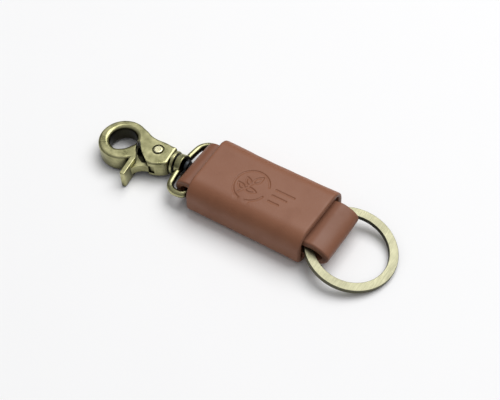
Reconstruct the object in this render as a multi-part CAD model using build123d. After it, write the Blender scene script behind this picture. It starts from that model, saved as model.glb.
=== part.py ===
from build123d import *
import math
import os

# Key fob: a folded leather strap in a leather sleeve, with a split ring in one
# loop and a swivel trigger hook in the other.  Millimetres, +Z up, +X towards
# the split ring.  The origin is the middle of the sleeve's flat underside.

# ---- leather ---------------------------------------------------------------
LEATHER = 2.1
SLEEVE_LENGTH = 41.7
SLEEVE_WIDTH = 26.4
SLEEVE_HEIGHT = 12.7
SLEEVE_WALL = 2.3
SLEEVE_TOP_RADIUS = 5.9
SLEEVE_BOTTOM_RADIUS = 3.8
SLEEVE_EDGE_RADIUS = 0.8
CAVITY_RADIUS = 1.6
STRAP_WIDTH = 19.5
STRAP_OFFSET_Y = -0.4
STRAP_EDGE_RADIUS = 0.7
STRAP_GAP = 3.8
STRAP_RIGHT_FOLD_X = 25.3
STRAP_LEFT_FOLD_X = -22.5
STRAP_BUTT_GAP = 0.3
CORE_LEFT_X = -17.0
CORE_RIGHT_X = 15.6
CORE_WIDTH = 18.5
CORE_CORNER_RADIUS = 1.5
FIT = 0.03

# ---- stitched seam on the underside, off the middle ------------------------
STITCH_PITCH = 3.4
STITCH_COUNT = 11
STITCH_SPAN = 4.4
THREAD_RADIUS = 0.34
STITCH_BEND_RADIUS = 0.45
STITCH_LOW_Z = 0.38
STITCH_TOP_Z = 1.45
CHANNEL_DEPTH = 0.75
CHANNEL_WIDTH = 5.6
STITCH_HOLE_TOP_Z = 1.55
SEAM_GAP = 0.12
SEAM_Y = 5.2

# ---- split ring ------------------------------------------------------------
RING_OUTER_RADIUS = 15.0
RING_INNER_RADIUS = 12.05
RING_THICKNESS = 1.6
RING_TURN_GAP = 0.06
RING_JOG_ANGLE = 7.0
RING_EDGE_CHAMFER = 0.18
RING_TILT = 12.5
RING_X = 32.35
RING_Y = -1.1

# ---- swivel eye ------------------------------------------------------------
EYE_X = -30.1
EYE_Y = -0.4
EYE_Z = 4.65
EYE_PITCH = 8.2
EYE_YAW = 1.0
EYE_WIRE_RADIUS = 1.18
EYE_HALF_WIDTH = 11.2
EYE_BAR_X = 7.7
EYE_CORNER_RADIUS = 1.7
EYE_SHOULDER_X = 4.8
EYE_SHOULDER_RADIUS = 4.1
SWIVEL_X = -0.5
COLLAR_LEFT_X = -1.45
COLLAR_RIGHT_X = 0.95
COLLAR_RADIUS = 3.55
COLLAR_EDGE_RADIUS = 0.35
COLLAR_BORE_RADIUS = 1.45

# ---- hook ------------------------------------------------------------------
# Its own frame has the swivel's centre as origin, X along the post, the loop
# at negative X and the trigger at negative Y.
HOOK_YAW = 5.0
HOOK_PITCH = 2.5
HOOK_ROLL = 2.2
HOOK_THICKNESS = 6.4
HOOK_EDGE_RADIUS = 0.9
HOLE_EDGE_RADIUS = 1.35
LOOP_CENTRE = (-21.2, -0.25)
LOOP_RADIUS = 8.2
LOOP_ARC = (62, 230)
FAR_SIDE = ((-15.5, 6.2), (-13.6, 5.2), (-11.3, 4.5), (-9.0, 4.3), (-6.8, 4.15), (-4.6, 3.8))
NEAR_SIDE = ((-4.4, -4.6), (-5.9, -5.35), (-8.1, -5.9), (-10.2, -5.95), (-13.0, -6.1), (-15.8, -6.5))
HOLE_CENTRE = (-21.4, 0.15)
HOLE_RADIUS = 4.55
HOLE_ARC = (8, 250)
HOLE_FLAT = ((-21.1, -4.15), (-19.7, -3.4), (-18.4, -2.3), (-17.45, -0.9))
GATE_TIP = ((-31.0, -6.9), (-23.5, -2.1))
GATE_EDGE = ((-17.9, 0.95), (-16.95, 0.9), (-16.45, 0.4), (-15.55, -1.9), (-14.3, -4.05),
             (-13.4, -5.9), (-13.2, -8.0))
CHEEK_EDGE = ((-17.6, 1.3), (-16.4, 1.5), (-15.65, 1.1), (-14.15, -0.9), (-12.45, -2.85),
              (-10.5, -4.65), (-9.1, -5.9), (-8.6, -8.0))
SEAM_WIDTH = 0.12
BODY_END_X = -3.1
BODY_END_HALF_WIDTH = 3.3
FLANGE_X = -1.65
FLANGE_LENGTH = 1.1
FLANGE_RADIUS = 3.9
FLANGE_EDGE_RADIUS = 0.3
NECK_RADIUS = 2.95
NECK_BITE = 0.6
RIVET_X = -8.4
RIVET_Y = 0.4
RIVET_RADIUS = 1.1
RIVET_HEAD_RADIUS = 1.6
RIVET_HEAD_HEIGHT = 0.6
RIVET_HEAD_ROUND = 0.45
RIVET_RECESS_RADIUS = 2.05
RIVET_RECESS_DEPTH = 0.35
SLOT_HEIGHT = 3.2
SLOT_END = 268
SLOT_REACH = 14.0
SLOT_LEFT = ((-19.7, -10.9), (-18.35, -9.0), (-18.35, 0.5))
BOSS_TANGENT = 100
LEVER_OPEN = 15.0

# ---- trigger lever ---------------------------------------------------------
WEB_THICKNESS = 2.8
WEB_NEAR = ((-8.9, -6.05), (-11.4, -6.85), (-13.6, -9.3))
WEB_LEFT = ((-14.6, -9.3), (-16.2, -4.0), (-16.6, 0.2))
WEB_HOLLOW = ((-15.6, -0.4), (-14.9, -2.6), (-13.3, -4.3), (-11.5, -5.4), (-10.6, -5.2),
              (-11.0, -1.2), (-11.3, 0.3))
WEB_FLOOR_Z = -1.0
BOSS_RADIUS = 2.5
FAN_RADIUS = 5.75
FAN_START = 240
FAN_END = 286
FAN_MARGIN = 3
FAN_CLEARANCE = 0.2
LEVER_CLEARANCE = 0.3
PIVOT_CLEARANCE = 0.06
TAIL_X = -14.4
TAIL_WIDTH = 1.8
TAIL_ROOT_Y = -5.5
TAIL_TIP_Y = -13.4
TAIL_CORNER_RADIUS = 0.75
TAIL_EDGE_RADIUS = 0.3

# ---- swivel post and spring ------------------------------------------------
POST_RADIUS = 1.1
POST_INNER_X = -5.3
POST_HEAD_X = 1.95
POST_HEAD_RADIUS = 2.4
POST_HEAD_LENGTH = 1.2
POST_HEAD_ROUND = 0.8
SPRING_WIRE_RADIUS = 0.18
SPRING_RADIUS = 1.55
SPRING_PITCH = 0.42
SPRING_TURNS = 2.25
SPRING_FLOOR = 0.1
SPRING_ROOM_RADIUS = 2.0
SPRING_REAR_LENGTH = 3.5
SPRING_LEG_ROOM = 6.0
SPRING_LEG_IN = 2.4
SPRING_LEG_OUT = 1.3

EYE_PLACE = Pos(EYE_X, EYE_Y, EYE_Z) * Rot(0, 0, EYE_YAW) * Rot(0, -EYE_PITCH, 0)
SWIVEL = (EYE_PLACE * Pos(SWIVEL_X, 0, 0)).position
HOOK_PLACE = (
    Pos(SWIVEL) * Rot(0, 0, HOOK_YAW) * Rot(0, -HOOK_PITCH, 0) * Rot(HOOK_ROLL, 0, 0)
)


def cylinder_x(radius, x0, x1):
    """A cylinder along X between two stations."""
    return Pos((x0 + x1) / 2, 0, 0) * Rot(0, 90, 0) * Cylinder(radius, abs(x1 - x0))


def polar(radius, degrees, centre=(0, 0)):
    angle = math.radians(degrees)
    return (centre[0] + radius * math.cos(angle), centre[1] + radius * math.sin(angle))


# ---- leather ---------------------------------------------------------------
def rounded_section(width, z0, z1, top_radius, bottom_radius):
    """Closed Y-Z outline with its own top and bottom corner radii."""
    half = width / 2
    plane = Plane.YZ
    box = plane * Pos(0, (z0 + z1) / 2) * Rectangle(width, z1 - z0)
    corners = box.vertices().sort_by(Axis.Z)
    box = fillet(corners[:2], bottom_radius) if bottom_radius else box
    corners = [v for v in box.vertices() if abs(abs(v.Y) - half) < 1e-6 and abs(v.Z - z1) < 1e-6]
    return fillet(corners, top_radius)


def sleeve():
    outer = rounded_section(
        SLEEVE_WIDTH, 0, SLEEVE_HEIGHT, SLEEVE_TOP_RADIUS, SLEEVE_BOTTOM_RADIUS)
    body = Pos(-SLEEVE_LENGTH / 2, 0, 0) * extrude(outer, SLEEVE_LENGTH, dir=(1, 0, 0))
    ends = body.faces().filter_by(Axis.X)
    body = fillet(ends.edges(), SLEEVE_EDGE_RADIUS)
    cavity = rounded_section(
        SLEEVE_WIDTH - 2 * SLEEVE_WALL, SLEEVE_WALL, SLEEVE_HEIGHT - SLEEVE_WALL,
        CAVITY_RADIUS, CAVITY_RADIUS / 2)
    body -= Pos(-SLEEVE_LENGTH, 0, 0) * extrude(cavity, 2 * SLEEVE_LENGTH, dir=(1, 0, 0))
    body -= Pos(0, SEAM_Y, 0) * Box(SLEEVE_LENGTH, CHANNEL_WIDTH, 2 * CHANNEL_DEPTH)
    body -= Pos(0, SEAM_Y, 0) * Box(2 * SLEEVE_LENGTH, SEAM_GAP, 2 * SLEEVE_WALL + 1)
    for x, y in stitch_holes():
        body -= Pos(x, y, 0) * Cylinder(THREAD_RADIUS + FIT, 2 * STITCH_HOLE_TOP_Z)
    return body


def stitch_stations():
    first = -STITCH_PITCH * (STITCH_COUNT - 1) / 2
    return [first + STITCH_PITCH * i for i in range(STITCH_COUNT)]


def stitch_holes():
    rows = [SEAM_Y + side * STITCH_SPAN / 2 for side in (-1, 1)]
    return [(x, y) for x in stitch_stations() for y in rows]


def stitch(x):
    """One staple-shaped stitch across the seam."""
    low, top = STITCH_LOW_Z, STITCH_TOP_Z
    half = STITCH_SPAN / 2
    path = FilletPolyline(
        (-half, top), (-half, low), (half, low), (half, top), radius=STITCH_BEND_RADIUS)
    wire = Plane((x, SEAM_Y, 0), x_dir=(0, 1, 0), z_dir=(1, 0, 0)) * path
    section = Plane((x, SEAM_Y - half, top), z_dir=(0, 0, -1)) * Circle(THREAD_RADIUS)
    return sweep(section, path=wire)


def seam_stitches():
    return Compound(children=[stitch(x) for x in stitch_stations()])


def strap_loop(thickness_out):
    """Side profile of the folded strap, offset inwards by a distance."""
    radius = STRAP_GAP / 2 + LEATHER - thickness_out
    length = STRAP_RIGHT_FOLD_X - STRAP_LEFT_FOLD_X
    middle = (STRAP_RIGHT_FOLD_X + STRAP_LEFT_FOLD_X) / 2
    return Plane.XZ * Pos(middle, strap_height()) * SlotCenterToCenter(length, 2 * radius)


def strap_height():
    return SLEEVE_WALL + FIT + LEATHER + STRAP_GAP / 2


def strap():
    body = extrude(strap_loop(0), STRAP_WIDTH / 2, both=True)
    body = Pos(0, STRAP_OFFSET_Y, 0) * body
    sides = body.faces().filter_by(Axis.Y)
    body = fillet(sides.edges(), STRAP_EDGE_RADIUS)
    body -= extrude(strap_loop(LEATHER), STRAP_WIDTH, both=True)
    butt = Box(STRAP_BUTT_GAP, 2 * STRAP_WIDTH, LEATHER + 2 * STRAP_EDGE_RADIUS)
    return body - Pos(0, 0, SLEEVE_WALL + LEATHER / 2) * butt


def core_pad():
    length = CORE_RIGHT_X - CORE_LEFT_X
    pad = Box(length, CORE_WIDTH, STRAP_GAP)
    pad = fillet(pad.edges().filter_by(Axis.Z), CORE_CORNER_RADIUS)
    return Pos((CORE_LEFT_X + CORE_RIGHT_X) / 2, STRAP_OFFSET_Y, strap_height()) * pad


# ---- split ring ------------------------------------------------------------
def ring_height():
    tilt = math.radians(RING_TILT)
    return RING_OUTER_RADIUS * math.sin(tilt) + RING_THICKNESS / 2 * math.cos(tilt)


def ring_place():
    return Pos(RING_X, RING_Y, ring_height()) * Rot(0, RING_TILT, 0)


def ring_turn(z0, z1, start, sweep_angle):
    """One flat turn of the ring's wire."""
    middle = (RING_INNER_RADIUS + RING_OUTER_RADIUS) / 2
    width = RING_OUTER_RADIUS - RING_INNER_RADIUS
    section = Plane.XZ * Pos(middle, (z0 + z1) / 2) * RectangleRounded(
        width, z1 - z0, RING_EDGE_CHAMFER)
    return Rot(0, 0, start) * revolve(section, Axis.Z, sweep_angle)


def ring_section(degrees, z0, z1):
    middle = (RING_INNER_RADIUS + RING_OUTER_RADIUS) / 2
    width = RING_OUTER_RADIUS - RING_INNER_RADIUS
    plane = Plane(origin=(0, 0, 0), x_dir=(*polar(1, degrees), 0),
                  z_dir=(*polar(1, degrees - 90), 0))
    return plane * Pos(middle, (z0 + z1) / 2) * RectangleRounded(
        width, z1 - z0, RING_EDGE_CHAMFER)


def split_ring():
    half = RING_THICKNESS / 2
    gap = RING_TURN_GAP / 2
    jog = 180.0
    lower = ring_turn(-half, -gap, jog + RING_JOG_ANGLE, 360 - 2 * RING_JOG_ANGLE)
    upper = ring_turn(gap, half, jog + RING_JOG_ANGLE, 360 - 2 * RING_JOG_ANGLE)
    step = loft([
        ring_section(jog - RING_JOG_ANGLE, -half, -gap),
        ring_section(jog + RING_JOG_ANGLE, gap, half),
    ])
    return ring_place() * (lower + step + upper)


# ---- swivel eye ------------------------------------------------------------
def eye_path():
    """Closed D of the eye's wire in its own plane, its front's middle at the origin."""
    w = EYE_HALF_WIDTH
    sx, sr = EYE_SHOULDER_X, EYE_SHOULDER_RADIUS
    gap_y = w - sr
    big = (sx * sx + gap_y * gap_y - sr * sr) / (2 * (sx - sr))
    angle = math.degrees(math.atan2(gap_y, big - sx))
    meet = polar(big, 180 - angle, (big, 0))
    shoulder = polar(sr, 135 - angle / 2, (sx, gap_y))
    cr = EYE_CORNER_RADIUS
    corner = polar(cr, 45, (EYE_BAR_X - cr, w - cr))
    front = ThreePointArc((meet[0], -meet[1]), (0, 0), meet)
    upper = [
        ThreePointArc(meet, shoulder, (sx, w)),
        Line((sx, w), (EYE_BAR_X - cr, w)),
        ThreePointArc((EYE_BAR_X - cr, w), corner, (EYE_BAR_X, w - cr)),
    ]
    bar = Line((EYE_BAR_X, w - cr), (EYE_BAR_X, cr - w))
    lower = [edge.mirror(Plane.XZ) for edge in upper]
    return Wire([front, *upper, bar, *lower])


def swivel_eye():
    section = Plane((EYE_BAR_X, 0, 0), z_dir=(0, 1, 0)) * Circle(EYE_WIRE_RADIUS)
    wire = sweep(section, path=eye_path())
    collar = cylinder_x(COLLAR_RADIUS, COLLAR_LEFT_X, COLLAR_RIGHT_X)
    collar = fillet(collar.edges(), COLLAR_EDGE_RADIUS)
    bore = cylinder_x(COLLAR_BORE_RADIUS, COLLAR_LEFT_X - 1, COLLAR_RIGHT_X + 1)
    return EYE_PLACE * (wire + collar - bore)


# ---- hook ------------------------------------------------------------------
def hook_plan():
    """Plan of the closed hook with the lever in place, without the trigger tail."""
    loop = CenterArc(LOOP_CENTRE, LOOP_RADIUS, *LOOP_ARC)
    end_far = (BODY_END_X, BODY_END_HALF_WIDTH)
    end_near = (BODY_END_X, -BODY_END_HALF_WIDTH)
    far = Spline(loop @ 0, *FAR_SIDE, end_far, tangents=[(loop % 0) * -1, (0.5, -1)])
    near = Spline(end_near, *NEAR_SIDE, loop @ 1, tangents=[(-0.5, -1), (loop % 1) * -1])
    return make_face([loop, far, Line(end_far, end_near), near])


def hook_hole():
    """The opening: round, with the gate's inner edge a little flatter."""
    arc = CenterArc(HOLE_CENTRE, HOLE_RADIUS, *HOLE_ARC)
    flat = Spline(arc @ 1, *HOLE_FLAT, arc @ 0, tangents=[arc % 1, arc % 0])
    return make_face([arc, flat])


def full_hook():
    """The closed casting, hole and rounded rims included."""
    blank = extrude(hook_plan() - hook_hole(), HOOK_THICKNESS / 2, both=True)
    faces = blank.faces().filter_by(Axis.Z)
    rims = [edge for face in faces for edge in face.outer_wire().edges()]
    blank = fillet(rims, HOOK_EDGE_RADIUS)
    faces = blank.faces().filter_by(Axis.Z)
    hole_rims = [edge for face in faces for wire in face.inner_wires() for edge in wire.edges()]
    return fillet(hole_rims, HOLE_EDGE_RADIUS)


def gate_zone(boundary, seam_width):
    """Plan area below the gate's seam and left of a boundary curve."""
    outer, inner = [(x, y + seam_width) for x, y in GATE_TIP]
    nose, foot = boundary @ 0, boundary @ 1
    low = TAIL_TIP_Y - HOOK_THICKNESS
    closing = Polyline(
        foot, (foot.X, low), (outer[0], low), outer, inner, (HOLE_CENTRE[0] + 1, nose.Y), nose)
    return make_face([boundary, *closing.edges()])


def web_plan():
    """Web from the gate to the rivet, flaring into the trigger tail."""
    rivet = (RIVET_X, RIVET_Y)
    near = ThreePointArc(*WEB_NEAR)
    rest = Polyline(near @ 1, *WEB_LEFT, polar(BOSS_RADIUS, BOSS_TANGENT, rivet), rivet, near @ 0)
    web = make_face([near, *rest.edges()]) + Pos(*rivet) * Circle(BOSS_RADIUS)
    return web + fan(FAN_RADIUS, FAN_START, FAN_END)


def fan(radius, start, end):
    """Sector about the rivet that closes the slot's mouth from inside."""
    rivet = (RIVET_X, RIVET_Y)
    arc = CenterArc(rivet, radius, start, end - start)
    return make_face([arc, Line(arc @ 1, rivet), Line(rivet, arc @ 0)])


def lever_slot():
    """Room between the cheeks for the web over its whole travel."""
    radius = BOSS_RADIUS + LEVER_CLEARANCE
    rivet = (RIVET_X, RIVET_Y)
    sector = Polyline(
        rivet, polar(SLOT_REACH, SLOT_END + LEVER_OPEN, rivet), *SLOT_LEFT,
        polar(radius, BOSS_TANGENT, rivet), close=True)
    plan = make_face(sector) + Pos(*rivet) * Circle(radius)
    room_end = FAN_END + LEVER_OPEN + FAN_MARGIN
    plan += fan(FAN_RADIUS + FAN_CLEARANCE, FAN_START, room_end)
    return extrude(plan, SLOT_HEIGHT / 2, both=True)


def spring_pocket():
    """Room for the coil in the web's upper face, open to the rear."""
    height = WEB_THICKNESS
    middle = SPRING_FLOOR + height / 2
    round_room = Pos(0, 0, middle) * Cylinder(SPRING_ROOM_RADIUS, height)
    rear_floor = (SPRING_TURNS + 1) * SPRING_PITCH - 3 * SPRING_WIRE_RADIUS
    rear = Pos(SPRING_REAR_LENGTH / 2, 0, middle + rear_floor) * Box(
        SPRING_REAR_LENGTH, 3 * BOSS_RADIUS, height)
    leg = Pos(-SPRING_LEG_ROOM / 2, -SPRING_RADIUS, middle) * Box(
        SPRING_LEG_ROOM, 4 * SPRING_WIRE_RADIUS, height)
    return Pos(RIVET_X, RIVET_Y, 0) * (round_room + rear + leg)


def trigger_tail():
    tail = Box(TAIL_WIDTH, TAIL_ROOT_Y - TAIL_TIP_Y, HOOK_THICKNESS)
    tail = fillet(tail.edges().filter_by(Axis.Z).sort_by(Axis.Y)[:2], TAIL_CORNER_RADIUS)
    tail = fillet(tail.faces().filter_by(Axis.Z).edges(), TAIL_EDGE_RADIUS)
    return Pos(TAIL_X, (TAIL_ROOT_Y + TAIL_TIP_Y) / 2, 0) * tail


def trigger_lever():
    gate = full_hook() & extrude(gate_zone(Spline(*GATE_EDGE), 0), HOOK_THICKNESS, both=True)
    web = extrude(web_plan(), WEB_THICKNESS / 2, both=True)
    hollow = make_face(Polyline(*WEB_HOLLOW, close=True))
    web -= Pos(0, 0, WEB_FLOOR_Z) * extrude(hollow, WEB_THICKNESS)
    lever = gate + web + trigger_tail() - spring_pocket()
    pivot = Cylinder(RIVET_RADIUS + PIVOT_CLEARANCE, HOOK_THICKNESS)
    return HOOK_PLACE * (lever - Pos(RIVET_X, RIVET_Y, 0) * pivot)


def hook_body():
    cut = extrude(gate_zone(Spline(*CHEEK_EDGE), SEAM_WIDTH), HOOK_THICKNESS, both=True)
    body = full_hook() - cut - lever_slot()
    neck = cylinder_x(NECK_RADIUS, BODY_END_X - NECK_BITE, FLANGE_X - FLANGE_LENGTH / 2)
    flange = cylinder_x(FLANGE_RADIUS, FLANGE_X - FLANGE_LENGTH, FLANGE_X)
    flange = fillet(flange.edges(), FLANGE_EDGE_RADIUS)
    body += neck
    body += flange
    body -= cylinder_x(POST_RADIUS, POST_INNER_X, 0)
    body -= Pos(RIVET_X, RIVET_Y, 0) * Cylinder(RIVET_RADIUS, 2 * HOOK_THICKNESS)
    for side in (-1, 1):
        recess = Cylinder(RIVET_RECESS_RADIUS, 2 * RIVET_RECESS_DEPTH)
        body -= Pos(RIVET_X, RIVET_Y, side * HOOK_THICKNESS / 2) * recess
    return HOOK_PLACE * body


def lever_rivet():
    """Pin with a domed head sunk in a recess on each face."""
    seat = HOOK_THICKNESS / 2 - RIVET_RECESS_DEPTH + FIT
    rivet = Cylinder(RIVET_RADIUS, 2 * seat)
    for side in (-1, 1):
        head = Cylinder(RIVET_HEAD_RADIUS, RIVET_HEAD_HEIGHT)
        crown = head.edges().filter_by(GeomType.CIRCLE).sort_by(Axis.Z)[-1 if side > 0 else 0]
        head = fillet(crown, RIVET_HEAD_ROUND)
        rivet += Pos(0, 0, side * (seat + RIVET_HEAD_HEIGHT / 2)) * head
    return HOOK_PLACE * Pos(RIVET_X, RIVET_Y, 0) * rivet


def lever_spring():
    """Torsion spring around the rivet: one leg in the web, one in the slot."""
    coil = Helix(SPRING_PITCH, SPRING_TURNS * SPRING_PITCH, SPRING_RADIUS)
    start, finish = coil @ 0, coil @ 1
    leg_in = Line(start - (coil % 0) * SPRING_LEG_IN, start)
    leg_out = Line(finish, finish + (coil % 1) * SPRING_LEG_OUT)
    path = Wire([leg_in, *coil.edges(), leg_out])
    section = Plane(origin=leg_in @ 0, z_dir=leg_in % 0) * Circle(SPRING_WIRE_RADIUS)
    spring = sweep(section, path=path, is_frenet=True)
    floor = SPRING_FLOOR + SPRING_WIRE_RADIUS + 2 * FIT
    return HOOK_PLACE * Pos(RIVET_X, RIVET_Y, floor) * Rot(0, 0, -90) * spring


def swivel_post():
    head_end = POST_HEAD_X + POST_HEAD_LENGTH
    post = cylinder_x(POST_RADIUS, POST_INNER_X, head_end - POST_HEAD_LENGTH / 2)
    head = cylinder_x(POST_HEAD_RADIUS, POST_HEAD_X, head_end)
    head = fillet(head.edges().sort_by(Axis.X)[-1], POST_HEAD_ROUND)
    return HOOK_PLACE * (post + head)


def write_parts():
    os.makedirs("parts", exist_ok=True)
    builders = (
        sleeve, seam_stitches, strap, core_pad, split_ring, swivel_eye,
        hook_body, trigger_lever, lever_rivet, lever_spring, swivel_post,
    )
    for build in builders:
        export_step(build(), f"parts/{build.__name__}.step")


write_parts()
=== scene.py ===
import math

import bmesh
import bpy
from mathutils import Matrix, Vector, noise


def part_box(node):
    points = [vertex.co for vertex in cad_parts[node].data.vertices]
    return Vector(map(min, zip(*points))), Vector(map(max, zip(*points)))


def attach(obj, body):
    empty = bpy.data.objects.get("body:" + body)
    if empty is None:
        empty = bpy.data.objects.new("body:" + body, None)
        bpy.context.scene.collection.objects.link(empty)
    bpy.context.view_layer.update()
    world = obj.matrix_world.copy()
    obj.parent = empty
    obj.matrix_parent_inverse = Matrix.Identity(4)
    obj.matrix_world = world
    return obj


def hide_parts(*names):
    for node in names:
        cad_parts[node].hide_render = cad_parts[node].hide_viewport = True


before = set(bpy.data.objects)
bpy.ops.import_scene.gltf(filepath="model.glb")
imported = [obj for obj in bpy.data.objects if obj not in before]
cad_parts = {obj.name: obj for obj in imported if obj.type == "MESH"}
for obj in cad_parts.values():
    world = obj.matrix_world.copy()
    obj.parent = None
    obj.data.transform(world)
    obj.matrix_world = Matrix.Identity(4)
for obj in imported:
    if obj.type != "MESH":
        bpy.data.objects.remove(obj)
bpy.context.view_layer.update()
MM = 0.001

# ---- sizes shared with the CAD, in mm ----------------------------------------
WALL = 2.3
LEATHER = 2.1
TOP_RADIUS = 5.9
BOTTOM_RADIUS = 3.8
CAVITY_RADIUS = 1.6
SLEEVE_EDGE = 0.8
STRAP_EDGE = 0.7
BUTT_GAP = 0.3
SEAM_Y = 5.2
CHANNEL_DEPTH = 0.75
CHANNEL_WIDTH = 5.6

# ---- the sleeve's mesh: points on a side, the top, the bottom and a corner ------
SLEEVE_COUNTS = (10, 104, 44, 10)
# spacing along the sleeve, fine where the ornament lies, in mm
FINE_STEP = 0.14
COARSE_STEP = 0.7
LAST_STEP = 0.02
# the cut rim: its middle as (share of the wall crossed, mm in from the end)
RIM_STEPS = 4
RIM_MIDDLE = ((0.42, -0.04), (0.5, -0.07), (0.58, -0.04))
RIM_INNER_SHARE = 0.8
# how fast the cut edge's dark comes and goes across the wall, and the share it ends at
MASK_RISE = 9
MASK_FALL = 6
MASK_END = 1.05
BORE_RINGS = 24
BORE_MARGIN = 0.7
# the seam and the edge of its channel, in mm
SEAM_DEPTH = 0.6
SEAM_HALF_WIDTH = 0.25
CHANNEL_SOFTNESS = 0.4
# how far hand-worked leather strays from the CAD's shape, in mm
DRIFT_RATES = (0.07, 0.09, 0.12)
DRIFT_SHIFT = (0, 0, 3.1)
RIPPLE_RATES = (0.22, 0.2, 0.25)
RIPPLE_SHIFT = (9.0, 0, 0)
END_SKEW = 0.32
END_DRIFT = 0.12
TOP_SAG = 0.28
TOP_DRIFT = 0.10
SIDE_RIPPLE = 0.16
SIDE_SAG = 0.22
# thickness of the band under the top that the ornament is pressed into, in mm
PRESSED_BAND = 1.5

# ---- the strap's mesh: spacing in mm along it, and counts across it -------------
SLOT_STEP = 0.35
ACROSS_STEPS = 26
OUTER_CORNER_STEPS = 6
INNER_CORNER_STEPS = 3
INNER_CORNER_SHARE = 0.35
CUT_EDGE_SWELL = 0.02
# where along X the strap is pinched, loosened and tapered, and by how much, in mm
MOUTH_X = 20.9
MOUTH_PINCH = 0.55
PINCH_START = 16.5
PINCH_RUN = 4
RELEASE_RUN = 3
LOOP_START = 21.0
LEAST_RISE = 0.02
LOOSE_START = 21.5
LOOSE_RUN = 5
LOOSE_WAVE = 0.05
WAVE_RATES = (0.11, 0.13, 0.17)
WAVE_SHIFT = (0, 0, 0)
LEFT_LOOP_START = -19.0
LEFT_LOOP_RUN = 3
LEFT_LOOP_TAPER = 0.14
FOLD_BULGE = 0.10
FOLD_WAVE = 0.07

# ---- the core pad's mesh -------------------------------------------------------
CORE_ALONG = 40
CORE_ACROSS = 24
CORE_EDGE = 0.5
CORE_WAIST = 0.03
# where its rounding starts and how far it runs, as shares of half its size
CORE_SIDE = (0.93, 0.07)
CORE_END = (0.96, 0.04)
CORE_THINNEST = 0.2

# ---- camera: degrees and mm ----------------------------------------------------
CAMERA_AZIMUTH = 31.8
CAMERA_ELEVATION = 50.88
CAMERA_DISTANCE = 444.2
CAMERA_AIM = (-5.91, 1.73, 0.32)
CAMERA_LENS = 100
SENSOR_WIDTH = 36

# ---- colours (linear) --------------------------------------------------------
TAN = (0.230, 0.088, 0.043)
TAN_LIGHT = (0.258, 0.106, 0.055)
TAN_DARK = (0.160, 0.058, 0.027)
EDGE_BROWN = (0.185, 0.080, 0.045)
STRAP_TAN = (0.200, 0.078, 0.040)
STRAP_LIGHT = (0.228, 0.095, 0.052)
RAW_LEATHER = (0.36, 0.21, 0.12)
THREAD_BROWN = (0.17, 0.065, 0.035)
ANTIQUE = (0.27, 0.262, 0.13)
ANTIQUE_WORN = (0.60, 0.575, 0.32)
# near black: the hook's patina in its recesses, also painted shade in hollows, in gaps, near the
# floor and on the ring's rims and joint
PATINA_AND_SHADE = (0.012, 0.011, 0.008)
PALE_BRASS = (0.345, 0.335, 0.222)
BRIGHT_BRASS = (0.85, 0.81, 0.55)
SPRING_GREY = (0.5, 0.5, 0.5)
STEEL_DARK = (0.05, 0.055, 0.06)
FLOOR_WHITE = (0.91, 0.91, 0.911)

# ---- hollows: the middles of the openings, as shares of the pieces' boxes; faces turned into them get painted shade ---
EYE_HOLLOW = (0.62, 0.5, 0.5)
HOOK_HOLLOW = (0.287, 0.416, 0.5)
RING_HOLLOW = (0.5, 0.5, 0.5)

# ---- painted shade in the gap between gate and cheek: its middle as a share of the lever's box, and its radii in mm ---
THROAT_SHADE = (0.53, 0.805, 0.62)
THROAT_SHADE_RADII = (1.5, 2.1)

# ---- finishes --------------------------------------------------------------------
LEATHER_ROUGHNESS = (0.42, 0.54)
LEATHER_SPECULAR = 0.36
EDGE_DARKENING = 0.75
# how black the patina and painted shade get, and their ceiling
PATINA_AND_SHADE_AMOUNT = 0.96
PATINA_AND_SHADE_LIMIT = 0.97
ANTIQUE_ROUGHNESS = 0.26
RIVET_PATINA_AND_SHADE = 0.9
RIVET_ROUGHNESS = 0.20
# how far a face must point into the hollow to be painted fully black as shade, and to be left
# unshaded
EYE_SHADE_REACH = (-0.38, -0.02)
HOOK_SHADE_REACH = (-0.75, -0.35)
# no face points in this far, so the rivet gets no painted shade from a hollow
RIVET_SHADE_REACH = (-1.1, -1.0)
# painted shade on the ring's inner and outer rims: the same pair, then how dark at each
RING_INSIDE_SHADE = (-0.75, -0.35, 0.93, 0.0)
RING_OUTSIDE_SHADE = (0.5, 0.9, 0.0, 0.55)
RING_ROUGHNESS = (0.38, 0.48)

# ---- how far the patina and painted shade of recesses and hollows, and the painted shade in the ring's joint, spread, in m --
RECESS_SPREAD = 0.0026
HOLLOW_SPREAD = 0.0070
JOINT_SHADE_SPREAD = 0.0010

# ---- light and floor, in metres and watts ----------------------------------------
KEY_PLACE = (0.15, 1.0, 1.9)
KEY_SIZE = (2.1, 1.7)
KEY_POWER = 41
SKY_STRENGTH = 0.72
SKY_STOPS = ((0.05, (0.06, 0.06, 0.06, 1)), (0.85, (0.75, 0.75, 0.76, 1)))
FLOOR_SIZE = 6
FLOOR_DROP = 0.00002
FLOOR_SPECULAR = 0.25


def mm_box(node):
    """A CAD node's box at rest, in millimetres."""
    low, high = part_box(node)
    return [v / MM for v in low], [v / MM for v in high]


def box_point(node, shares):
    """The point at the given shares of a CAD node's box, in millimetres."""
    return [lerp(low, high, share) for low, high, share in zip(*mm_box(node), shares)]


def lerp(a, b, t):
    return a + (b - a) * t


def wander(point, rates, shift):
    """Smooth noise between about -1 and 1, always the same at the same point."""
    return noise.noise(Vector([p * rate + start for p, rate, start in zip(point, rates, shift)]))


def smooth(t):
    """A soft step from 0 to 1, held at both ends."""
    t = min(max(t, 0.0), 1.0)
    return t * t * (3 - 2 * t)


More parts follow.
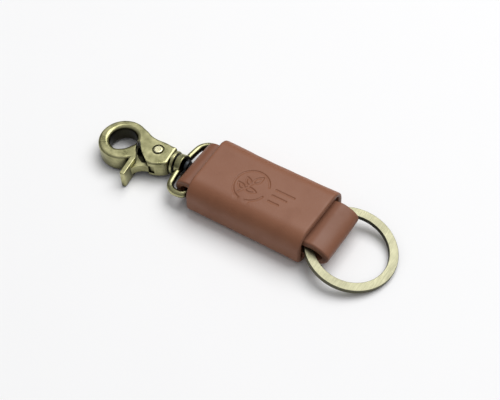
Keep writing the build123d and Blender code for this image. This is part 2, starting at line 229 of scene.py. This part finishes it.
# ---- meshes ------------------------------------------------------------------
def mesh_object(name, points, faces, edge_mask=None):
    """A smooth-shaded mesh from points in millimetres, with an optional mask of cut edges."""
    mesh = bpy.data.meshes.new(name)
    mesh.from_pydata([(x * MM, y * MM, z * MM) for x, y, z in points], [], faces)
    if edge_mask:
        layer = mesh.attributes.new("cut_edge", "FLOAT", "POINT")
        layer.data.foreach_set("value", edge_mask)
    edit = bmesh.new()
    edit.from_mesh(mesh)
    bmesh.ops.recalc_face_normals(edit, faces=edit.faces)
    edit.to_mesh(mesh)
    edit.free()
    mesh.shade_smooth()
    piece = bpy.data.objects.new(name, mesh)
    bpy.context.scene.collection.objects.link(piece)
    return piece


def ring_faces(rings, count, closed):
    """Quads between successive rings of points; the rings themselves are closed."""
    last = rings if closed else rings - 1
    faces = []
    for i in range(last):
        a, b = i * count, ((i + 1) % rings) * count
        for j in range(count):
            k = (j + 1) % count
            faces.append((a + j, a + k, b + k, b + j))
    return faces


def corner_points(cy, cz, radius, start, steps):
    """Points on a quarter circle in the Y-Z plane, its first point included."""
    out = []
    for i in range(steps):
        angle = math.radians(start + 90 * i / steps)
        out.append((cy + radius * math.cos(angle), cz + radius * math.sin(angle)))
    return out


def straight_points(a, b, steps):
    return [(lerp(a[0], b[0], i / steps), lerp(a[1], b[1], i / steps)) for i in range(steps)]


def section(half, z0, z1, top_radius, bottom_radius, counts):
    """Rounded rectangle, the same number of points on each stretch whatever its size."""
    side, top, bottom, bend = counts
    rt, rb = top_radius, bottom_radius
    out = straight_points((half, z0 + rb), (half, z1 - rt), side)
    out += corner_points(half - rt, z1 - rt, rt, 0, bend)
    out += straight_points((half - rt, z1), (rt - half, z1), top)
    out += corner_points(rt - half, z1 - rt, rt, 90, bend)
    out += straight_points((-half, z1 - rt), (-half, z0 + rb), side)
    out += corner_points(rb - half, z0 + rb, rb, 180, bend)
    out += straight_points((rb - half, z0), (half - rb, z0), bottom)
    out += corner_points(half - rb, z0 + rb, rb, 270, bend)
    return out


# ---- ornament: a leaf sprig in a round frame beside three rules ----------------
ORNAMENT_CENTRE = (1.3, -1.6)
ORNAMENT_REACH = (11.0, 7.2)
ORNAMENT_SCALE = 1.3
LINE_HALF_WIDTH = 0.2
LINE_SOFTNESS = 0.2
LINE_DEPTH = 0.24
FRAME_X = -3.6
FRAME_RADII = (4.3, 4.7)
FRAME_GAP = 20
RULE_START = 2.2
RULES = ((1.9, 7.2), (0.0, 6.0), (-1.9, 4.9))
STALK = ((-1.9, -3.2), (-0.5, -0.8), (0.1, 0.9))
LEAVES = (
    (-1.1, -1.8, 150, 2.5, 0.62),
    (-0.9, -1.5, 5, 2.9, 0.68),
    (-0.4, -0.2, 130, 2.6, 0.62),
    (0.1, 0.9, 65, 2.9, 0.68),
)
ARC_STEPS = 28
LEAF_STEPS = 8
LEAF_FULLNESS = 0.8
FAR_AWAY = 9.0


def arc_line(cx, rx, ry, start, end):
    """Arc of an ellipse as points, its centre on the ornament's own X axis."""
    angles = [math.radians(lerp(start, end, i / ARC_STEPS)) for i in range(ARC_STEPS + 1)]
    return [(cx + rx * math.cos(a), ry * math.sin(a)) for a in angles]


def leaf(x, y, angle, length, width):
    """Outline of one pointed leaf that starts at (x, y)."""
    c, s = math.cos(math.radians(angle)), math.sin(math.radians(angle))
    outline = []
    for side in (1, -1):
        edge = []
        for i in range(LEAF_STEPS + 1):
            t = i / LEAF_STEPS
            u, v = length * t, side * width * math.sin(math.pi * t ** LEAF_FULLNESS)
            edge.append((x + u * c - v * s, y + u * s + v * c))
        outline.append(edge)
    return outline


def ornament_lines():
    """Lines of the sprig, its frame and the rules."""
    lines = [arc_line(FRAME_X, *FRAME_RADII, FRAME_GAP, 360 - FRAME_GAP)]
    lines.append([(FRAME_X + x, y) for x, y in STALK])
    for x, y, angle, length, width in LEAVES:
        lines += leaf(FRAME_X + x, y, angle, length, width)
    lines += [[(RULE_START, y), (end, y)] for y, end in RULES]
    return [[(x * ORNAMENT_SCALE, y * ORNAMENT_SCALE) for x, y in line] for line in lines]


ORNAMENT = ornament_lines()


def line_distance(x, y):
    """Distance from a point to the nearest line of the ornament."""
    best = FAR_AWAY
    for line in ORNAMENT:
        for (ax, ay), (bx, by) in zip(line, line[1:]):
            dx, dy = bx - ax, by - ay
            t = ((x - ax) * dx + (y - ay) * dy) / (dx * dx + dy * dy)
            t = min(max(t, 0.0), 1.0)
            best = min(best, math.hypot(x - ax - t * dx, y - ay - t * dy))
    return best


def ornament_depth(x, y):
    """How far the top is pressed in at a point, in millimetres."""
    u, v = x - ORNAMENT_CENTRE[0], y - ORNAMENT_CENTRE[1]
    if abs(u) > ORNAMENT_REACH[0] or abs(v) > ORNAMENT_REACH[1]:
        return 0.0
    return LINE_DEPTH * (1 - smooth((line_distance(u, v) - LINE_HALF_WIDTH) / LINE_SOFTNESS))


# ---- leather pieces ------------------------------------------------------------
def stations(length):
    """X stations along the sleeve, close together where the ornament is."""
    low = ORNAMENT_CENTRE[0] - ORNAMENT_REACH[0]
    high = ORNAMENT_CENTRE[0] + ORNAMENT_REACH[0]
    x, out = -length / 2 + SLEEVE_EDGE, []
    end = length / 2 - SLEEVE_EDGE
    while x < end - LAST_STEP:
        out.append(x)
        x += FINE_STEP if low < x < high else COARSE_STEP
    return out + [end]


def rim_profile():
    """Rounded cut rim as (share of the wall crossed, distance in from the end)."""
    outer = []
    for i in range(RIM_STEPS + 1):
        angle = math.radians(90 * i / RIM_STEPS)
        across = SLEEVE_EDGE / WALL * (1 - math.cos(angle))
        outer.append((across, SLEEVE_EDGE * (1 - math.sin(angle))))
    inner = [(1 - across, x * RIM_INNER_SHARE) for across, x in reversed(outer)]
    return outer + list(RIM_MIDDLE) + inner


def sleeve_rings(half_x):
    """Rings along the outside, round a rim and back through the bore.

    Each ring is (share of the wall crossed, x, how much of it is cut edge).
    """
    rim = rim_profile()
    rings = [(across, x - half_x, 1.0) for across, x in reversed(rim[1:])]
    rings += [(0.0, x, 0.0) for x in stations(2 * half_x)]
    rings += [(across, half_x - x, 1.0) for across, x in rim[1:]]
    bore = half_x - BORE_MARGIN
    rings += [(1.0, lerp(bore, -bore, i / BORE_RINGS), 0.0) for i in range(1, BORE_RINGS)]
    return rings


def sleeve_mesh():
    low, high = mm_box("sleeve")
    half_x = (high[0] - low[0]) / 2
    mid_x = (high[0] + low[0]) / 2
    half = (high[1] - low[1]) / 2
    height = high[2]
    outer = section(half, 0, height, TOP_RADIUS, BOTTOM_RADIUS, SLEEVE_COUNTS)
    inner = section(
        half - WALL, WALL, height - WALL, CAVITY_RADIUS, CAVITY_RADIUS / 2, SLEEVE_COUNTS)
    rings = sleeve_rings(half_x)
    points, mask = [], []
    for wall, x, edge in rings:
        for (outer_y, outer_z), (inner_y, inner_z) in zip(outer, inner):
            y, z = lerp(outer_y, inner_y, wall), lerp(outer_z, inner_z, wall)
            shaped = shape_sleeve(x, y, z, wall, half, half_x, height)
            points.append((shaped[0] + mid_x, shaped[1], shaped[2]))
            mask.append(edge * smooth(wall * MASK_RISE) * smooth((MASK_END - wall) * MASK_FALL))
    return mesh_object("sleeve_leather", points, ring_faces(len(rings), len(outer), True), mask)


def channel_depth(y):
    """Height of the stitching channel's floor in the underside, with the butted seam in it."""
    across = abs(y - SEAM_Y)
    channel = CHANNEL_DEPTH * smooth((CHANNEL_WIDTH / 2 - across) / CHANNEL_SOFTNESS + 0.5)
    return channel + SEAM_DEPTH * max(0.0, 1 - across / SEAM_HALF_WIDTH)


def shape_sleeve(x, y, z, wall, half, half_x, height):
    """The soft irregularity of hand-worked leather, the pressed ornament and the channel."""
    u, v = x / half_x, y / half
    drift = wander((x, y, z), DRIFT_RATES, DRIFT_SHIFT)
    ripple = wander((x, y, z), RIPPLE_RATES, RIPPLE_SHIFT)
    nx = x + END_SKEW * u * u * u * v + END_DRIFT * drift * abs(u) ** 3
    if wall >= 0.5:
        return nx, y, z
    sag = TOP_SAG * (1 - u * u) * smooth((z - 0.5 * height) / (0.5 * height))
    nz = z - sag * (0.3 + 0.7 * smooth(abs(v))) + TOP_DRIFT * drift * smooth(z / 3)
    ny = y + SIDE_RIPPLE * ripple * smooth(abs(v) * 3 - 2) * (1 if y > 0 else -1)
    ny -= SIDE_SAG * math.copysign(1, y) * smooth(abs(v) * 4 - 3) * (1 - u * u)
    if z > height - PRESSED_BAND:
        nz -= ornament_depth(x, y)
    if z < WALL / 2:
        nz = max(nz, channel_depth(y))
    return nx, ny, nz


def round_point(x, z, radius, angle):
    """Point and normal on a round end of the slot."""
    across, up = math.cos(angle), math.sin(angle)
    return x + radius * across, z + radius * up, across, up


def slot_point(s, half_run, radius, z):
    """Point and normal at a distance along the slot, from the middle of the underside."""
    bend = math.pi * radius
    if s < half_run:
        return s, z - radius, 0.0, -1.0
    s -= half_run
    if s < bend:
        return round_point(half_run, z, radius, s / radius - math.pi / 2)
    s -= bend
    if s < 2 * half_run:
        return half_run - s, z + radius, 0.0, 1.0
    s -= 2 * half_run
    if s < bend:
        return round_point(-half_run, z, radius, s / radius + math.pi / 2)
    s -= bend
    return s - half_run, z - radius, 0.0, -1.0


def slot_path(half_run, radius, z):
    """The strap's outer face in X-Z as (x, z, normal x, normal z), open at the butted ends."""
    total = 4 * half_run + 2 * math.pi * radius
    start, end = BUTT_GAP / 2, total - BUTT_GAP / 2
    count = int((end - start) / SLOT_STEP)
    return [slot_point(lerp(start, end, i / count), half_run, radius, z) for i in range(count + 1)]


def strip_section(half):
    """Cross-section of the strip as (across, depth, edge mask); depth 0 is the outer face."""
    flat = half - STRAP_EDGE
    top = [(lerp(-flat, flat, i / ACROSS_STEPS), 0.0, 0.0) for i in range(ACROSS_STEPS + 1)]
    out = list(top)
    for i in range(1, OUTER_CORNER_STEPS):
        a = math.radians(90 * i / OUTER_CORNER_STEPS)
        depth = STRAP_EDGE - STRAP_EDGE * math.cos(a)
        out.append((flat + STRAP_EDGE * math.sin(a), depth, i / (OUTER_CORNER_STEPS - 1)))
    out.append((half, STRAP_EDGE, 1.0))
    inner = STRAP_EDGE * INNER_CORNER_SHARE
    out.append((half + CUT_EDGE_SWELL, (LEATHER + STRAP_EDGE - inner) / 2, 1.0))
    for i in range(INNER_CORNER_STEPS + 1):
        a = math.radians(90 * i / INNER_CORNER_STEPS)
        depth = LEATHER - inner + inner * math.sin(a)
        out.append((half - inner + inner * math.cos(a), depth, 1.0 - i / (INNER_CORNER_STEPS + 1)))
    back = [(x, LEATHER, 0.0) for x, _, _ in reversed(top[1:-1])]
    left = [(-x, depth, edge) for x, depth, edge in reversed(out[ACROSS_STEPS + 1:])]
    return out + back + left


def right_loop(x, z, radius, end):
    """Height and normal of the right loop's upper run, which falls in a long curve to its end."""
    reach = end - LOOP_START
    t = min((x - LOOP_START) / reach, 1.0)
    rise = math.sqrt(max(1 - t * t, 0.0))
    nx, nz = t / reach, max(rise, LEAST_RISE) / radius
    size = math.hypot(nx, nz)
    return z + radius * rise, nx / size, nz / size


def shape_strap(x0, z0, nx, nz, depth, y, v):
    """One point of the strap with its bulging folds, soft waves and pinch at the sleeve's mouth."""
    x = x0 - nx * depth
    z = z0 - nz * depth
    wave = wander((x, y, z), WAVE_RATES, WAVE_SHIFT)
    y -= LEFT_LOOP_TAPER * v * smooth((LEFT_LOOP_START - x0) / LEFT_LOOP_RUN)
    bulge = FOLD_BULGE * (1 - v * v) * abs(nx)
    x += nx * (bulge + FOLD_WAVE * wave) * (1 - depth / LEATHER)
    release = 1 - smooth((x - MOUTH_X) / RELEASE_RUN)
    pinch = MOUTH_PINCH * smooth((x - PINCH_START) / PINCH_RUN) * release
    loose = smooth((x0 - LOOSE_START) / LOOSE_RUN)
    z -= LOOSE_WAVE * loose * wave + pinch * max(nz, 0.0)
    return x, y, z


def capped_faces(layers, count):
    """Faces of an outline swept through layers, with both ends closed."""
    faces = ring_faces(layers, count, False)
    faces.append(tuple(range(count)))
    faces.append(tuple(reversed(range((layers - 1) * count, layers * count))))
    return faces


def strap_mesh():
    low, high = mm_box("strap")
    mid_x, mid_y, mid_z = [(h + l) / 2 for l, h in zip(low, high)]
    half_x, half, radius = [(h - l) / 2 for l, h in zip(low, high)]
    path = slot_path(half_x - radius, radius, mid_z)
    strip = strip_section(half)
    points, mask = [], []
    for px, pz, nx, nz in path:
        x = px + mid_x
        if nz > 0 and x > LOOP_START:
            pz, nx, nz = right_loop(x, mid_z, radius, high[0])
        for across, depth, edge in strip:
            points.append(shape_strap(x, pz, nx, nz, depth, mid_y + across, across / half))
            mask.append(edge)
    return mesh_object("strap_leather", points, capped_faces(len(path), len(strip)), mask)


def core_mesh():
    """The hidden filler: a soft slab with pulled-in sides."""
    low, high = mm_box("core_pad")
    half = [(h - l) / 2 for l, h in zip(low, high)]
    mid = [(h + l) / 2 for l, h in zip(low, high)]
    upper = [(lerp(-1, 1, i / CORE_ACROSS), 1.0) for i in range(CORE_ACROSS + 1)]
    profile = upper + [(v, -1.0) for v, _ in reversed(upper)]
    points = []
    for i in range(CORE_ALONG + 1):
        u = lerp(-1, 1, i / CORE_ALONG)
        squeeze = 1 - CORE_WAIST * u * u
        for v, side in profile:
            near_side = smooth((abs(v) - CORE_SIDE[0]) / CORE_SIDE[1])
            near_end = smooth((abs(u) - CORE_END[0]) / CORE_END[1])
            soft = 1 - CORE_EDGE / half[2] * (near_side + near_end)
            height = side * half[2] * max(soft, CORE_THINNEST)
            points.append((mid[0] + u * half[0], mid[1] + v * half[1] * squeeze, mid[2] + height))
    return mesh_object("core_pad_leather", points, capped_faces(CORE_ALONG + 1, len(profile)))


# ---- materials -----------------------------------------------------------------
class Nodes:
    """Short way to add and link shader nodes."""

    def __init__(self, name):
        self.material = bpy.data.materials.new(name)
        self.material.use_nodes = True
        self.tree = self.material.node_tree
        self.shader = self.tree.nodes["Principled BSDF"]

    def add(self, kind, **values):
        node = self.tree.nodes.new("ShaderNode" + kind)
        for key, value in values.items():
            if hasattr(node, key):
                setattr(node, key, value)
            else:
                node.inputs[key.replace("_", " ")].default_value = value
        return node

    def link(self, a, b):
        self.tree.links.new(a, b)

    def coords(self, scale=(1, 1, 1)):
        source = self.add("TexCoord")
        mapping = self.add("Mapping")
        mapping.inputs["Scale"].default_value = scale
        self.link(source.outputs["Object"], mapping.inputs["Vector"])
        return mapping.outputs["Vector"]

    def noise(self, vector, scale, detail, rough=0.55):
        node = self.add("TexNoise")
        node.inputs["Scale"].default_value = scale
        node.inputs["Detail"].default_value = detail
        node.inputs["Roughness"].default_value = rough
        self.link(vector, node.inputs["Vector"])
        return node.outputs["Fac"]

    def ramp(self, value, low, high, a=0.0, b=1.0):
        """The value mapped from low..high to a..b and held there beyond."""
        node = self.add("MapRange")
        for name, number in (("From Min", low), ("From Max", high), ("To Min", a), ("To Max", b)):
            node.inputs[name].default_value = number
        self.link(value, node.inputs["Value"])
        return node.outputs["Result"]

    def mix(self, factor, a, b):
        """Colour a turning into colour b; each is a link or a constant."""
        node = self.add("Mix", data_type="RGBA")
        for socket, value in (("A", a), ("B", b)):
            target = [s for s in node.inputs if s.name == socket and s.type == "RGBA"][0]
            if isinstance(value, tuple):
                target.default_value = (*value, 1)
            else:
                self.link(value, target)
        self.link(factor, [s for s in node.inputs if s.name == "Factor" and s.type == "VALUE"][0])
        return [s for s in node.outputs if s.type == "RGBA"][0]

    def math(self, operation, a, b):
        node = self.add("Math", operation=operation)
        for index, value in enumerate((a, b)):
            if isinstance(value, (int, float)):
                node.inputs[index].default_value = value
            else:
                self.link(value, node.inputs[index])
        return node.outputs["Value"]

    def outward(self, centre):
        """How far the surface faces away from a point given in millimetres, from -1 to 1."""
        source = self.add("TexCoord")
        offset = self.add("VectorMath", operation="SUBTRACT")
        offset.inputs[1].default_value = [v * MM for v in centre]
        self.link(source.outputs["Object"], offset.inputs[0])
        direction = self.add("VectorMath", operation="NORMALIZE")
        self.link(offset.outputs["Vector"], direction.inputs[0])
        dot = self.add("VectorMath", operation="DOT_PRODUCT")
        self.link(direction.outputs["Vector"], dot.inputs[0])
        self.link(source.outputs["Normal"], dot.inputs[1])
        return dot.outputs["Value"]

    def occlusion(self, distance):
        node = self.add("AmbientOcclusion", samples=8)
        node.inputs["Distance"].default_value = distance
        return node.outputs["AO"]

    def near(self, centre, inner, outer):
        """One closer to a point than inner, in millimetres, falling to zero at outer."""
        source = self.add("TexCoord")
        distance = self.add("VectorMath", operation="DISTANCE")
        distance.inputs[1].default_value = [v * MM for v in centre]
        self.link(source.outputs["Object"], distance.inputs[0])
        return self.ramp(distance.outputs["Value"], inner * MM, outer * MM, 1.0, 0.0)

    def bump(self, height, strength, distance, previous=None):
        node = self.add("Bump")
        node.inputs["Strength"].default_value = strength
        node.inputs["Distance"].default_value = distance
        self.link(height, node.inputs["Height"])
        if previous is not None:
            self.link(previous, node.inputs["Normal"])
        return node.outputs["Normal"]

    def finish(self, colour, roughness, normal):
        self.link(colour, self.shader.inputs["Base Color"])
        if isinstance(roughness, (int, float)):
            self.shader.inputs["Roughness"].default_value = roughness
        else:
            self.link(roughness, self.shader.inputs["Roughness"])
        self.link(normal, self.shader.inputs["Normal"])
        return self.material


def darker(colour, share):
    return tuple(channel * share for channel in colour)


def leather_material(name, base, light):
    """Smooth finished leather: fine pores, faint mottling, dark burnished cut edges."""
    n = Nodes(name)
    v = n.coords()
    mottle = n.noise(v, 140, 5, 0.6)
    cloud = n.noise(v, 45, 3, 0.5)
    pores = n.add("TexVoronoi", feature="F1")
    pores.inputs["Scale"].default_value = 2300
    n.link(v, pores.inputs["Vector"])
    fibres = n.noise(n.coords((1, 0.5, 1)), 1500, 4, 0.6)
    tone = n.mix(n.ramp(cloud, 0.3, 0.7), base, light)
    tone = n.mix(n.ramp(mottle, 0.5, 0.8, 0.0, 0.30), tone, TAN_DARK)
    edge = n.add("Attribute", attribute_name="cut_edge").outputs["Fac"]
    tone = n.mix(n.math("MULTIPLY", edge, EDGE_DARKENING), tone, EDGE_BROWN)
    rough = n.ramp(mottle, 0.3, 0.75, *LEATHER_ROUGHNESS)
    normal = n.bump(pores.outputs["Distance"], 0.10, 0.0002)
    normal = n.bump(fibres, 0.12, 0.0001, normal)
    normal = n.bump(cloud, 0.15, 0.0006, normal)
    n.shader.inputs["Specular IOR Level"].default_value = LEATHER_SPECULAR
    return n.finish(tone, rough, normal)


def raw_leather_material():
    """The core pad's undyed leather, fibrous and dull."""
    n = Nodes("raw_leather")
    v = n.coords()
    fibre = n.noise(n.coords((1, 3, 3)), 500, 6, 0.7)
    tone = n.mix(n.ramp(fibre, 0.3, 0.7), RAW_LEATHER, darker(RAW_LEATHER, 0.7))
    return n.finish(tone, 0.85, n.bump(n.noise(v, 1800, 3), 0.4, 0.0003))


def thread_material():
    """Twisted thread, its plies shown by slanting bands."""
    n = Nodes("waxed_thread")
    wave = n.add("TexWave", wave_type="BANDS", bands_direction="DIAGONAL")
    wave.inputs["Scale"].default_value = 900
    wave.inputs["Distortion"].default_value = 0.4
    n.link(n.coords(), wave.inputs["Vector"])
    tone = n.mix(wave.outputs["Fac"], darker(THREAD_BROWN, 0.55), THREAD_BROWN)
    return n.finish(tone, 0.6, n.bump(wave.outputs["Fac"], 0.6, 0.00015))


def antique_material(name, base, worn, patina_and_shade, roughness, hollow, reach, throat_shade):
    """Antique plating: black patina and painted shade in the recesses, painted shade on faces
    turned into a hollow and at the throat, worn pale on the open faces.
    """
    n = Nodes(name)
    v = n.coords()
    cloud = n.noise(v, 260, 5, 0.6)
    speck = n.noise(v, 1500, 3, 0.6)
    scratch = n.noise(n.coords((1, 14, 14)), 420, 3, 0.5)
    tone = n.mix(n.ramp(cloud, 0.35, 0.65, 0.0, 0.7), base, worn)
    # patina and painted shade: recesses go black, and over a wider reach so do faces near the floor
    # and in hollows
    recess_patina_and_shade = n.ramp(n.occlusion(RECESS_SPREAD), 0.42, 0.86, patina_and_shade, 0.0)
    broad_patina_and_shade = n.ramp(n.occlusion(HOLLOW_SPREAD), 0.33, 0.66, patina_and_shade, 0.0)
    # painted shade: faces turned into the hollow go black
    inner_face_shade = n.ramp(n.outward(hollow), *reach, patina_and_shade, 0.0)
    dark = n.math("MAXIMUM", n.math("MAXIMUM", recess_patina_and_shade, broad_patina_and_shade), inner_face_shade)
    # painted shade: a black spot in the gap between gate and cheek
    dark = n.math("MAXIMUM", dark, n.near(throat_shade, *THROAT_SHADE_RADII))
    dark = n.math("ADD", dark, n.ramp(speck, 0.60, 0.78, 0.0, 0.16))
    tone = n.mix(n.math("MINIMUM", dark, PATINA_AND_SHADE_LIMIT), tone, PATINA_AND_SHADE)
    rough = n.ramp(cloud, 0.3, 0.7, roughness, roughness + 0.10)
    normal = n.bump(scratch, 0.06, 0.00015)
    normal = n.bump(cloud, 0.10, 0.0004, normal)
    n.shader.inputs["Metallic"].default_value = 1.0
    return n.finish(tone, rough, normal)


def brushed_material(centre):
    """Flat pale brass, brushed in one direction, with painted shade on its rims and where the two
    turns meet.
    """
    n = Nodes("brushed_brass")
    stroke = n.noise(n.coords((22, 1.0, 3)), 260, 4, 0.6)
    fine = n.noise(n.coords((40, 1.5, 4)), 700, 3, 0.6)
    cloud = n.noise(n.coords(), 180, 3)
    tone = n.mix(n.ramp(stroke, 0.3, 0.7), PALE_BRASS, darker(PALE_BRASS, 0.6))
    # painted shade: the ring's inner wall and outer rim go dark
    facing = n.outward(centre)
    rim_shade = n.math("MAXIMUM", n.ramp(facing, *RING_INSIDE_SHADE), n.ramp(facing, *RING_OUTSIDE_SHADE))
    # painted shade in the joint between the two turns
    joint_shade = n.ramp(n.occlusion(JOINT_SHADE_SPREAD), 0.25, 0.75, 0.8, 0.0)
    tone = n.mix(n.math("MAXIMUM", rim_shade, joint_shade), tone, PATINA_AND_SHADE)
    rough = n.ramp(cloud, 0.3, 0.7, *RING_ROUGHNESS)
    normal = n.bump(stroke, 0.22, 0.0003)
    normal = n.bump(fine, 0.15, 0.0001, normal)
    n.shader.inputs["Metallic"].default_value = 1.0
    return n.finish(tone, rough, normal)


def steel_material(name, colour, roughness):
    """Drawn steel, lightly scratched."""
    n = Nodes(name)
    scratch = n.noise(n.coords((3, 9, 9)), 500, 4, 0.6)
    tone = n.mix(n.ramp(scratch, 0.3, 0.7), colour, darker(colour, 0.6))
    n.shader.inputs["Metallic"].default_value = 1.0
    return n.finish(tone, roughness, n.bump(scratch, 0.15, 0.0002))


def paint(piece, material):
    piece.data.materials.clear()
    piece.data.materials.append(material)


# ---- assembly --------------------------------------------------------------------
def build_leather():
    tan = leather_material("sleeve_tan_leather", TAN, TAN_LIGHT)
    strap_tan = leather_material("strap_tan_leather", STRAP_TAN, STRAP_LIGHT)
    rows = (
        (sleeve_mesh(), "sleeve", "sleeve_leather", tan),
        (strap_mesh(), "strap", "strap_leather", strap_tan),
        (core_mesh(), "core_pad", "core_leather", raw_leather_material()),
    )
    for piece, node, slot, material in rows:
        paint(piece, material)
        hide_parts(node)
        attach(piece, "fob")


def build_metal():
    """Looks for the CAD's own metal pieces and the stitches."""
    throat_shade = box_point("trigger_lever", THROAT_SHADE)
    hollow = box_point("hook_body", HOOK_HOLLOW)
    eye = antique_material(
        "antique_brass_eye", ANTIQUE, ANTIQUE_WORN, PATINA_AND_SHADE_AMOUNT, ANTIQUE_ROUGHNESS,
        box_point("swivel_eye", EYE_HOLLOW), EYE_SHADE_REACH, throat_shade)
    antique = antique_material(
        "antique_brass", ANTIQUE, ANTIQUE_WORN, PATINA_AND_SHADE_AMOUNT, ANTIQUE_ROUGHNESS,
        hollow, HOOK_SHADE_REACH, throat_shade)
    rivet = antique_material(
        "bright_brass", ANTIQUE_WORN, BRIGHT_BRASS, RIVET_PATINA_AND_SHADE, RIVET_ROUGHNESS,
        hollow, RIVET_SHADE_REACH, throat_shade)
    looks = {
        "seam_stitches": thread_material(),
        "split_ring": brushed_material(box_point("split_ring", RING_HOLLOW)),
        "swivel_eye": eye,
        "hook_body": antique,
        "trigger_lever": antique,
        "lever_rivet": rivet,
        "lever_spring": steel_material("spring_steel", SPRING_GREY, 0.3),
        "swivel_post": steel_material("dark_steel", STEEL_DARK, 0.35),
    }
    for node, material in looks.items():
        paint(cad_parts[node], material)


def floor_material():
    n = Nodes("floor_white")
    grain = n.noise(n.coords(), 30, 2)
    tone = n.mix(n.ramp(grain, 0.3, 0.7), FLOOR_WHITE, darker(FLOOR_WHITE, 0.995))
    n.shader.inputs["Specular IOR Level"].default_value = FLOOR_SPECULAR
    return n.finish(tone, 0.55, n.bump(grain, 0.01, 0.0001))


def build_stage():
    bpy.ops.mesh.primitive_plane_add(size=FLOOR_SIZE, location=(0, 0, -FLOOR_DROP))
    floor = bpy.context.object
    floor.name = "floor"
    paint(floor, floor_material())


def build_key_light():
    """One large lamp above and behind, aimed at the origin."""
    data = bpy.data.lights.new("key", "AREA")
    data.shape = "RECTANGLE"
    data.size, data.size_y = KEY_SIZE
    data.energy = KEY_POWER
    lamp = bpy.data.objects.new("key", data)
    lamp.location = KEY_PLACE
    lamp.rotation_euler = (-Vector(KEY_PLACE)).to_track_quat("-Z", "Y").to_euler()
    bpy.context.scene.collection.objects.link(lamp)


def build_sky():
    """A soft surround, dark at the horizon's level and light overhead."""
    world = bpy.data.worlds.new("studio")
    world.use_nodes = True
    tree = world.node_tree
    background = tree.nodes["Background"]
    coords = tree.nodes.new("ShaderNodeTexCoord")
    split = tree.nodes.new("ShaderNodeSeparateXYZ")
    ramp = tree.nodes.new("ShaderNodeValToRGB")
    for element, (position, colour) in zip(ramp.color_ramp.elements, SKY_STOPS):
        element.position = position
        element.color = colour
    tree.links.new(coords.outputs["Generated"], split.inputs["Vector"])
    tree.links.new(split.outputs["Z"], ramp.inputs["Fac"])
    tree.links.new(ramp.outputs["Color"], background.inputs["Color"])
    background.inputs["Strength"].default_value = SKY_STRENGTH
    bpy.context.scene.world = world


def build_camera():
    azimuth, elevation = math.radians(CAMERA_AZIMUTH), math.radians(CAMERA_ELEVATION)
    aim = Vector(CAMERA_AIM) * MM
    back = Vector((
        math.sin(azimuth) * math.cos(elevation),
        -math.cos(azimuth) * math.cos(elevation),
        math.sin(elevation),
    ))
    data = bpy.data.cameras.new("camera")
    data.lens = CAMERA_LENS
    data.sensor_width = SENSOR_WIDTH
    data.clip_start = 0.01
    camera = bpy.data.objects.new("camera", data)
    camera.location = aim + back * CAMERA_DISTANCE * MM
    camera.rotation_euler = (-back).to_track_quat("-Z", "Y").to_euler()
    bpy.context.scene.collection.objects.link(camera)
    bpy.context.scene.camera = camera


build_camera()
build_leather()
build_metal()
build_stage()
build_sky()
build_key_light()
bpy.context.scene.view_settings.view_transform = "Standard"
